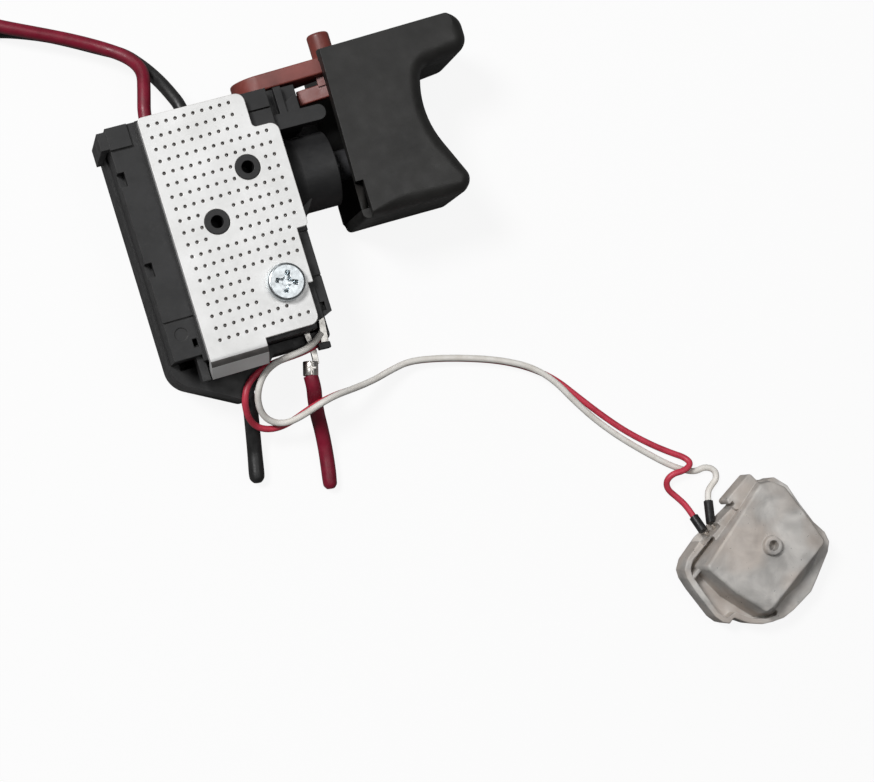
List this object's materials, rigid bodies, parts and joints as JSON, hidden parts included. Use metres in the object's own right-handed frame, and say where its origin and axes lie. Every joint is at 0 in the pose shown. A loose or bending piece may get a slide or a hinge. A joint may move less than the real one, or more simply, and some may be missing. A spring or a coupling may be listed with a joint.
{
  "type": "power_tool_trigger_switch",
  "caption": "Variable-speed trigger switch for a cordless drill, with a direction lever, heat sink, cut motor and battery leads, and a lamp lens on its two leads.",
  "frame": {"origin": "centre of the housing's flat back face, the face that lies on the table", "axes": "+X out of the housing towards the trigger, +Y towards the direction lever's post, +Z out of the heat sink, away from the table"},
  "size_m": [0.1283, 0.1301, 0.0186],
  "materials": {
    "housing_black": "fine moulded texture",
    "heat_sink_metal": "bead blasted, slightly oily",
    "screw_metal": "zinc plated",
    "transistor_body": "moulded case",
    "board_green": "coated laminate",
    "slide_plastic": "smooth slide plastic",
    "contact_copper": "bare copper",
    "contact_brass": "bare brass",
    "spring_steel": "drawn wire",
    "trigger_grey": "satin moulded",
    "lever_red": "satin moulded",
    "terminal_tinned": "tin plated",
    "wire_red": "soft insulation",
    "wire_black": "soft insulation",
    "wire_white": "soft insulation",
    "wire_light_red": "soft insulation",
    "sleeve_black": "shrink sleeve",
    "lens_clear": "frosted clear moulding",
    "led_clear": "clear cast resin"
  },
  "bodies": {
    "housing": {"base_shell": "housing_black", "cover_shell": "housing_black", "heat_sink": "heat_sink_metal", "heat_sink_screw": "screw_metal", "heat_sink_nut": "screw_metal", "mosfet": "transistor_body", "circuit_board": "board_green", "flyback_diode": "transistor_body", "bypass_contact_lower": "contact_brass", "bypass_contact_upper": "contact_brass", "return_spring": "spring_steel", "motor_terminal_left": "contact_brass", "motor_terminal_right": "contact_brass", "battery_terminal": "terminal_tinned", "lamp_terminal": "terminal_tinned", "lamp_terminal_block": "housing_black", "motor_lead_red": "wire_red", "motor_lead_black": "wire_black", "battery_lead_red": "wire_red", "battery_lead_black": "wire_black", "lamp_lead_white": "wire_white", "lamp_lead_red": "wire_light_red", "sleeve_white": "sleeve_black", "sleeve_red": "sleeve_black", "lamp_lens": "lens_clear", "lamp_led": "led_clear"},
    "trigger_slide": {"trigger": "trigger_grey", "plunger": "slide_plastic", "contact_carriage": "slide_plastic", "contact_bridge": "contact_copper", "speed_wiper": "contact_copper"},
    "direction_swing_lever": {"direction_lever": "lever_red", "reversing_rocker": "slide_plastic", "reversing_blades": "contact_copper"}
  },
  "joints": [
    {"name": "trigger_pull", "type": "slide", "parent": "housing", "child": "trigger_slide", "axis": [-1, 0, 0], "range_m": [0, 0.0065], "stiffness_N_per_m": 700, "springref_m": -0.0035, "deforming": ["return_spring"]},
    {"name": "direction_swing", "type": "hinge", "parent": "housing", "child": "direction_swing_lever", "pos_m": [0.0128, 0.0192, 0.0085], "axis": [0, 1, 0], "range_deg": [0, 40]}
  ]
}
